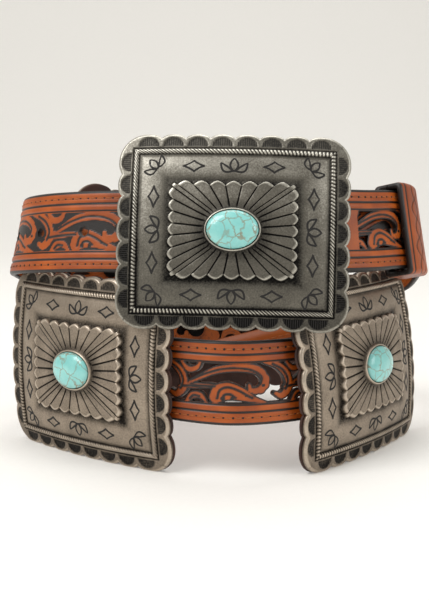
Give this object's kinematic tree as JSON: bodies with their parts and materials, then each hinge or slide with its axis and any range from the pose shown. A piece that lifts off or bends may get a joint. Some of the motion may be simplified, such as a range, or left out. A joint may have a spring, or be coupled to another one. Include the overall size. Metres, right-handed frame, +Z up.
{
  "type": "concho belt",
  "caption": "Fastened western belt: a pierced, scroll-carved leather strap with large cast silver-tone plates, each with a blue-green stone, a hook buckle and a leather keeper.",
  "frame": {"origin": "on the floor, below the middle of the whole belt", "axes": "+Z up, the buckle faces -Y, +X to the right as seen from the buckle's side"},
  "size_m": [0.211, 0.1748, 0.1525],
  "materials": {
    "strap_leather": "tan-orange bridle leather, carved and dyed dark in the ground, black painted edges",
    "keeper_leather": "orange leather loop with black painted edges",
    "buckle_metal": "antiqued silver-tone casting, dark in the recesses",
    "concho_metal": "antiqued silver-tone casting, dark in the recesses",
    "stone": "polished blue-green cabochon with thin tan veins",
    "backing_leather": "dark brown leather, matt",
    "screw_metal": "blackened steel, satin"
  },
  "bodies": {
    "root": {"strap": "strap_leather", "keeper": "keeper_leather", "buckle_plate": "buckle_metal", "buckle_stone": "stone", "concho_1_plate": "concho_metal", "concho_1_backing": "backing_leather", "concho_1_stone": "stone", "concho_1_screw_a": "screw_metal", "concho_1_screw_b": "screw_metal", "concho_2_plate": "concho_metal", "concho_2_backing": "backing_leather", "concho_2_stone": "stone", "concho_2_screw_a": "screw_metal", "concho_2_screw_b": "screw_metal", "concho_3_plate": "concho_metal", "concho_3_backing": "backing_leather", "concho_3_stone": "stone", "concho_3_screw_a": "screw_metal", "concho_3_screw_b": "screw_metal", "concho_4_plate": "concho_metal", "concho_4_backing": "backing_leather", "concho_4_stone": "stone", "concho_4_screw_a": "screw_metal", "concho_4_screw_b": "screw_metal"}
  },
  "joints": []
}
